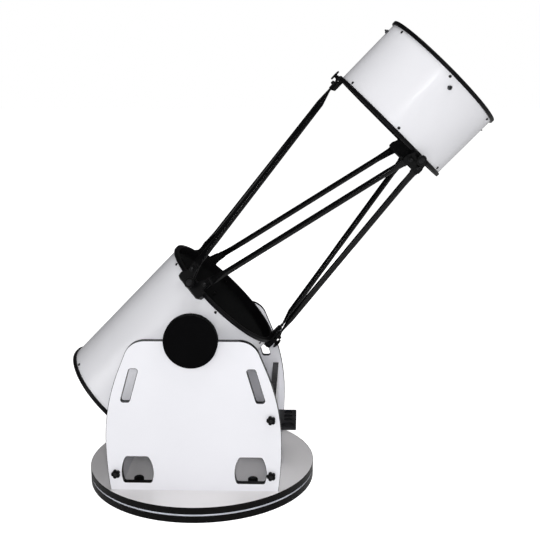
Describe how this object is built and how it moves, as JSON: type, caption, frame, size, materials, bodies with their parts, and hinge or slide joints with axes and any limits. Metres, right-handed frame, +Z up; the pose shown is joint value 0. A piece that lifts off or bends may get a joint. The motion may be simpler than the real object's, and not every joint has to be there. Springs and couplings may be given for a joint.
{
  "type": "dobsonian telescope",
  "caption": "Large open-truss reflecting telescope with a white split tube on a rocker-box mount that swings in altitude and turns on a round roller-bearing base.",
  "frame": {"origin": "on the floor under the azimuth pivot, at the middle of the circle of the three feet", "axes": "+Z up; +X is the side the tube points to; Y runs along the altitude axis, +Y is the telescope's left"},
  "size_m": [1.5235, 0.85, 1.6911],
  "materials": {
    "laminate_white": "particle board faced with satin white laminate",
    "laminate_grey": "particle board faced with smooth pale grey-white laminate",
    "edging_black": "black edging strip",
    "tube_white": "rolled steel, gloss white outside and matt black inside",
    "ring_black": "cast ring, satin black paint",
    "casting_black": "cast bracket, satin black powder coat",
    "pole_black": "drawn tube, semi-gloss black",
    "knob_black": "moulded black hand knob",
    "bearing_black": "moulded black altitude bearing",
    "pad_white": "slippery white plastic pad",
    "cage_white": "moulded white bearing cage",
    "steel_zinc": "zinc plated steel",
    "steel_black": "black oxide steel screw",
    "chrome_nut": "bright plated thumb nut",
    "foot_rubber": "black rubber",
    "rack_grey": "moulded dark grey plastic",
    "bracket_steel": "bent steel angle, black paint",
    "cell_black": "cast mirror cell, matt black paint",
    "mirror_coating": "polished glass with an aluminised front",
    "fan_black": "moulded black fan",
    "focuser_black": "machined housing, black anodised",
    "drawtube_chrome": "bright turned drawtube",
    "focus_knob": "machined knob, black anodised",
    "fine_knob": "machined knob, gold coloured",
    "finder_black": "moulded black finder",
    "window_glass": "coated glass"
  },
  "bodies": {
    "ground": {"ground_board": "laminate_white", "ground_board_edge": "edging_black", "feet": "foot_rubber", "pivot_bolt": "steel_zinc", "pivot_nut": "steel_zinc", "lower_race": "steel_zinc"},
    "bearing_cage": {"roller_cage": "cage_white", "rollers": "steel_zinc"},
    "rocker": {"turntable_board": "laminate_grey", "upper_race": "steel_zinc", "side_board_right": "laminate_white", "side_board_left": "laminate_white", "front_board": "laminate_white", "rear_stretcher": "laminate_white", "board_edge_bands": "edging_black", "base_brackets": "bracket_steel", "base_screws": "steel_black", "bracket_knobs": "knob_black", "side_knobs": "knob_black", "cradle_pads": "pad_white", "eyepiece_rack": "rack_grey"},
    "tube": {"trunnion_left": "bearing_black", "trunnion_right": "bearing_black", "lower_tube": "tube_white", "lower_tube_rear_ring": "ring_black", "lower_tube_front_ring": "ring_black", "upper_tube": "tube_white", "upper_tube_rear_ring": "ring_black", "upper_tube_front_ring": "ring_black", "tube_screws": "steel_black", "truss_brackets": "casting_black", "truss_poles": "pole_black", "pole_bolts": "steel_black", "mirror_cell": "cell_black", "mirror_tray": "cell_black", "primary_mirror": "mirror_coating", "mirror_clips": "bracket_steel", "collimation_springs": "steel_zinc", "fan_frame": "fan_black", "spider": "bracket_steel", "spider_nuts": "chrome_nut", "secondary_holder": "cell_black", "secondary_mirror": "mirror_coating", "focuser_body": "focuser_black", "finder": "finder_black", "finder_window": "window_glass"},
    "fan_rotor": {"fan_rotor": "fan_black"},
    "focus_drawtube": {"focus_drawtube": "drawtube_chrome"},
    "focus_shaft": {"focus_shaft": "focus_knob"},
    "fine_focus_knob": {"fine_focus_knob": "fine_knob"},
    "collimation_knob_1": {"collimation_knob_1": "knob_black"},
    "collimation_knob_2": {"collimation_knob_2": "knob_black"},
    "collimation_knob_3": {"collimation_knob_3": "knob_black"},
    "truss_knob_1": {"truss_knob_1": "knob_black"},
    "truss_knob_2": {"truss_knob_2": "knob_black"},
    "truss_knob_3": {"truss_knob_3": "knob_black"},
    "truss_knob_4": {"truss_knob_4": "knob_black"},
    "truss_knob_5": {"truss_knob_5": "knob_black"},
    "truss_knob_6": {"truss_knob_6": "knob_black"}
  },
  "joints": [
    {"name": "azimuth_turn", "type": "hinge", "parent": "ground", "child": "rocker", "pos_m": [0, 0, 0.039], "axis": [0, 0, 1], "continuous": true},
    {"name": "bearing_cage_turn", "type": "hinge", "parent": "ground", "child": "bearing_cage", "pos_m": [0, 0, 0.03575], "axis": [0, 0, 1], "continuous": true},
    {"name": "altitude_tilt", "type": "hinge", "parent": "rocker", "child": "tube", "pos_m": [0, 0, 0.624], "axis": [0, -1, 0], "range_deg": [-45.8, 44.2]},
    {"name": "focus_turn", "type": "hinge", "parent": "tube", "child": "focus_shaft", "pos_m": [0.72297, 0.26605, 1.47205], "axis": [-0.6972, 0, -0.7169], "range_deg": [0, 725]},
    {"name": "drawtube_slide", "type": "slide", "parent": "tube", "child": "focus_drawtube", "axis": [-0.2686, 0.9272, 0.2612], "range_m": [0, 0.038]},
    {"name": "fine_focus_turn", "type": "hinge", "parent": "tube", "child": "fine_focus_knob", "pos_m": [0.72297, 0.26605, 1.47205], "axis": [-0.6972, 0, -0.7169], "range_deg": [0, 7250.5]},
    {"name": "fan_spin", "type": "hinge", "parent": "tube", "child": "fan_rotor", "pos_m": [-0.30327, 0, 0.31214], "axis": [0.6972, 0, 0.7169], "continuous": true},
    {"name": "collimation_turn_1", "type": "hinge", "parent": "tube", "child": "collimation_knob_1", "pos_m": [-0.39298, 0, 0.40636], "axis": [-0.6972, 0, -0.7169], "range_deg": [-720, 720]},
    {"name": "collimation_turn_2", "type": "hinge", "parent": "tube", "child": "collimation_knob_2", "pos_m": [-0.25318, -0.11258, 0.27041], "axis": [-0.6972, 0, -0.7169], "range_deg": [-720, 720]},
    {"name": "collimation_turn_3", "type": "hinge", "parent": "tube", "child": "collimation_knob_3", "pos_m": [-0.25318, 0.11258, 0.27041], "axis": [-0.6972, 0, -0.7169], "range_deg": [-720, 720]},
    {"name": "truss_knob_turn_1", "type": "hinge", "parent": "tube", "child": "truss_knob_1", "pos_m": [-0.00253, 0.2217, 0.805], "axis": [-0.3585, 0.866, 0.3486], "range_deg": [0, 1440]},
    {"name": "truss_knob_turn_2", "type": "hinge", "parent": "tube", "child": "truss_knob_2", "pos_m": [-0.00253, -0.2217, 0.805], "axis": [-0.3585, -0.866, 0.3486], "range_deg": [0, 1440]},
    {"name": "truss_knob_turn_3", "type": "hinge", "parent": "tube", "child": "truss_knob_3", "pos_m": [0.27277, 0, 0.53729], "axis": [0.7169, 0, -0.6972], "range_deg": [0, 1440]},
    {"name": "truss_knob_turn_4", "type": "hinge", "parent": "tube", "child": "truss_knob_4", "pos_m": [0.49906, 0, 1.50009], "axis": [-0.7169, 0, 0.6972], "range_deg": [0, 1440]},
    {"name": "truss_knob_turn_5", "type": "hinge", "parent": "tube", "child": "truss_knob_5", "pos_m": [0.77112, -0.2191, 1.23551], "axis": [0.3585, -0.866, -0.3486], "range_deg": [0, 1440]},
    {"name": "truss_knob_turn_6", "type": "hinge", "parent": "tube", "child": "truss_knob_6", "pos_m": [0.77112, 0.2191, 1.23551], "axis": [0.3585, 0.866, -0.3486], "range_deg": [0, 1440]}
  ],
  "couplings": [
    {"joint": "bearing_cage_turn", "follows": "azimuth_turn", "ratio": 0.5},
    {"joint": "drawtube_slide", "follows": "focus_turn", "m_per_rad": 0.003},
    {"joint": "fine_focus_turn", "follows": "focus_turn", "ratio": 10}
  ]
}
